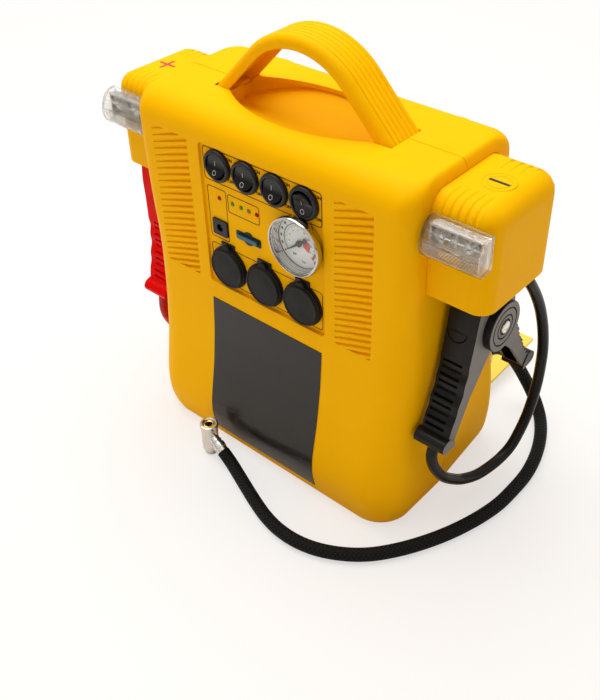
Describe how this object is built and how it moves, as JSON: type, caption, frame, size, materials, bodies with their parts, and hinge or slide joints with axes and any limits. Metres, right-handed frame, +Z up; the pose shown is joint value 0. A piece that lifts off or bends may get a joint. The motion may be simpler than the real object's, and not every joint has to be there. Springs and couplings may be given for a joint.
{
  "type": "jump starter pack",
  "caption": "Upright moulded jump starter pack with carrying handle, side holsters holding battery clamps, lamps, gauge, switches, sockets and an air hose.",
  "frame": {"origin": "on the floor under the middle of the case, in the plane where the two shells meet", "axes": "+Z up, the control panel faces -Y, +X is to the right when the panel is seen from in front"},
  "size_m": [0.3302, 0.2979, 0.323],
  "materials": {
    "yellow_case": "satin",
    "label": "gloss",
    "screw": "plated",
    "lens": "clear",
    "reflector": "mirror",
    "bulb": "clear",
    "black_plastic": "matt",
    "rocker": "satin",
    "gauge_rim": "polished",
    "dial": "printed",
    "needle": "matt",
    "gauge_glass": "clear",
    "fuse": "translucent",
    "green_led": "clear",
    "red_led": "clear",
    "amber_led": "clear",
    "black_rubber": "matt",
    "battery_case": "moulded",
    "brass": "bare",
    "steel_strap": "painted",
    "motor": "plated",
    "cast": "cast",
    "board": "lacquered",
    "nickel": "plated",
    "hose_rubber": "braided",
    "cable_black": "gloss",
    "cable_red": "gloss",
    "clamp_black": "satin",
    "clamp_red": "satin",
    "spring_steel": "plated",
    "copper": "copper plated"
  },
  "bodies": {
    "case": {"front_shell": "yellow_case", "rear_shell": "yellow_case", "carry_handle": "yellow_case", "front_label": "label", "shell_screws": "screw", "holster_left": "yellow_case", "holster_right": "yellow_case", "lamp_lens_left": "lens", "lamp_lens_right": "lens", "lamp_reflectors": "reflector", "lamp_bulbs": "bulb", "switch_bodies": "black_plastic", "gauge_case": "gauge_rim", "gauge_dial": "dial", "gauge_glass": "gauge_glass", "charge_jack": "black_plastic", "fuse_socket": "black_plastic", "blade_fuse": "fuse", "lights_green": "green_led", "lights_red": "red_led", "light_amber": "amber_led", "power_sockets": "black_plastic", "battery": "battery_case", "battery_terminals": "brass", "battery_strap": "steel_strap", "compressor_motor": "motor", "compressor_head": "cast", "compressor_pipe": "hose_rubber", "circuit_board": "board", "storage_tray": "yellow_case", "door_pin": "screw", "hose_fitting": "brass", "air_hose": "hose_rubber", "air_chuck": "nickel", "clamp_front_left": "clamp_red", "clamp_pivot_left": "nickel", "clamp_spring_left": "spring_steel", "clamp_front_jaw_left": "copper", "cable_gland_left": "black_rubber", "battery_cable_left": "cable_red", "clamp_front_right": "clamp_black", "clamp_pivot_right": "nickel", "clamp_spring_right": "spring_steel", "clamp_front_jaw_right": "copper", "cable_gland_right": "black_rubber", "battery_cable_right": "cable_black"},
    "rocker_1_body": {"rocker_1": "rocker"},
    "rocker_2_body": {"rocker_2": "rocker"},
    "rocker_3_body": {"rocker_3": "rocker"},
    "rocker_4_body": {"rocker_4": "rocker"},
    "cap_1_body": {"socket_cap_1": "black_rubber"},
    "cap_2_body": {"socket_cap_2": "black_rubber"},
    "cap_3_body": {"socket_cap_3": "black_rubber"},
    "needle_body": {"gauge_needle": "needle"},
    "door_body": {"rear_door": "yellow_case"},
    "clamp_left_lever": {"clamp_rear_left": "clamp_red", "clamp_rear_jaw_left": "copper"},
    "clamp_right_lever": {"clamp_rear_right": "clamp_black", "clamp_rear_jaw_right": "copper"}
  },
  "joints": [
    {"name": "rocker_1_tilt", "type": "hinge", "parent": "case", "child": "rocker_1_body", "pos_m": [-0.0375, -0.052, 0.24], "axis": [1, 0, 0], "range_deg": [0, 18]},
    {"name": "rocker_2_tilt", "type": "hinge", "parent": "case", "child": "rocker_2_body", "pos_m": [-0.0125, -0.052, 0.24], "axis": [1, 0, 0], "range_deg": [0, 18]},
    {"name": "rocker_3_tilt", "type": "hinge", "parent": "case", "child": "rocker_3_body", "pos_m": [0.0125, -0.052, 0.24], "axis": [1, 0, 0], "range_deg": [0, 18]},
    {"name": "rocker_4_tilt", "type": "hinge", "parent": "case", "child": "rocker_4_body", "pos_m": [0.0375, -0.052, 0.24], "axis": [1, 0, 0], "range_deg": [-18, 0]},
    {"name": "cap_1_hinge", "type": "hinge", "parent": "case", "child": "cap_1_body", "pos_m": [-0.034, -0.0571, 0.18], "axis": [-1, 0, 0], "range_deg": [0, 100]},
    {"name": "cap_2_hinge", "type": "hinge", "parent": "case", "child": "cap_2_body", "pos_m": [0, -0.0571, 0.18], "axis": [-1, 0, 0], "range_deg": [0, 100]},
    {"name": "cap_3_hinge", "type": "hinge", "parent": "case", "child": "cap_3_body", "pos_m": [0.034, -0.0571, 0.18], "axis": [-1, 0, 0], "range_deg": [0, 100]},
    {"name": "needle_turn", "type": "hinge", "parent": "case", "child": "needle_body", "pos_m": [0.0334, -0.054, 0.2095], "axis": [0, 1, 0], "range_deg": [0, 256], "stiffness_Nm_per_rad": 0.00002, "springref_deg": -11.46},
    {"name": "door_hinge", "type": "hinge", "parent": "case", "child": "door_body", "pos_m": [0, 0.0746, 0.0134], "axis": [1, 0, 0], "range_deg": [0, 98.5]},
    {"name": "clamp_left_squeeze", "type": "hinge", "parent": "case", "child": "clamp_left_lever", "pos_m": [-0.1335, -0.0088, 0.174], "axis": [-1, 0, 0], "range_deg": [0, 15], "stiffness_Nm_per_rad": 1.5, "springref_deg": -14.32},
    {"name": "clamp_right_squeeze", "type": "hinge", "parent": "case", "child": "clamp_right_lever", "pos_m": [0.1335, 0.0085, 0.1615], "axis": [-1, 0, 0], "range_deg": [0, 15], "stiffness_Nm_per_rad": 1.5, "springref_deg": -14.32}
  ]
}
